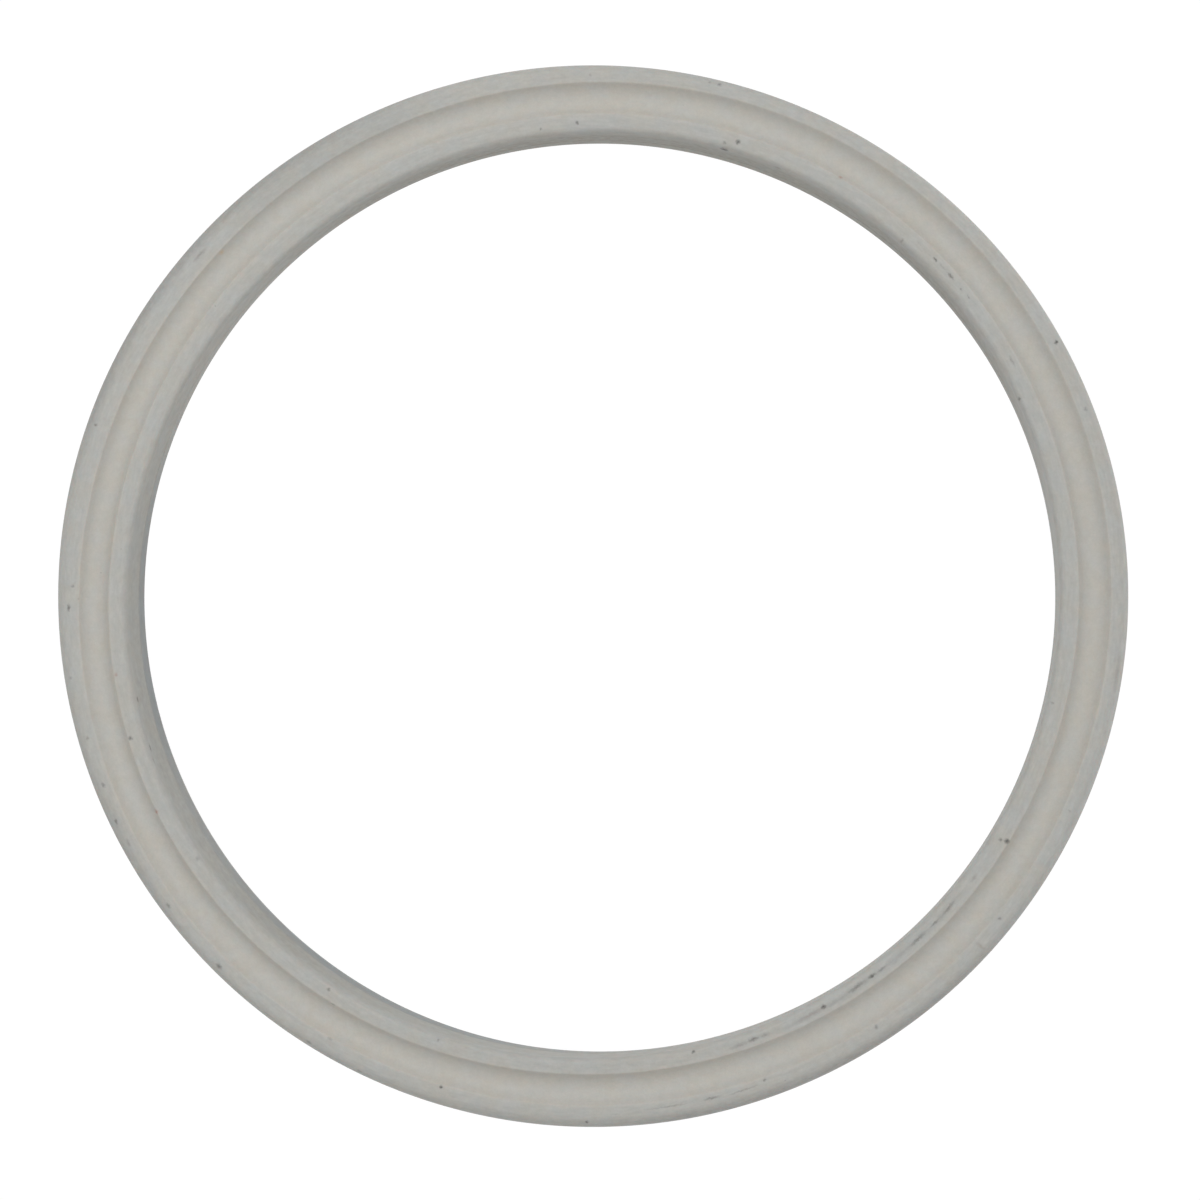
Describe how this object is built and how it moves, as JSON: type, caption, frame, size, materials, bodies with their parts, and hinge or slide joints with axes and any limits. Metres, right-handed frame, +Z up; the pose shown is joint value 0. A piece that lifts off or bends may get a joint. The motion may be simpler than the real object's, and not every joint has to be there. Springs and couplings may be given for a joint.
{
  "type": "thermostat gasket",
  "caption": "Round moulded rubber sealing ring with rounded edges and a shallow groove in both flat faces, for sealing a coolant thermostat in its housing.",
  "frame": {"origin": "centre of the ring's underside, on its axis", "axes": "+Z up along the ring's axis, from the underside to the top face; +X and +Y across the ring"},
  "size_m": [0.066, 0.066, 0.0045],
  "materials": {
    "silicone_rubber": "matte, moulded"
  },
  "bodies": {
    "root": {"gasket_ring": "silicone_rubber"}
  },
  "joints": []
}
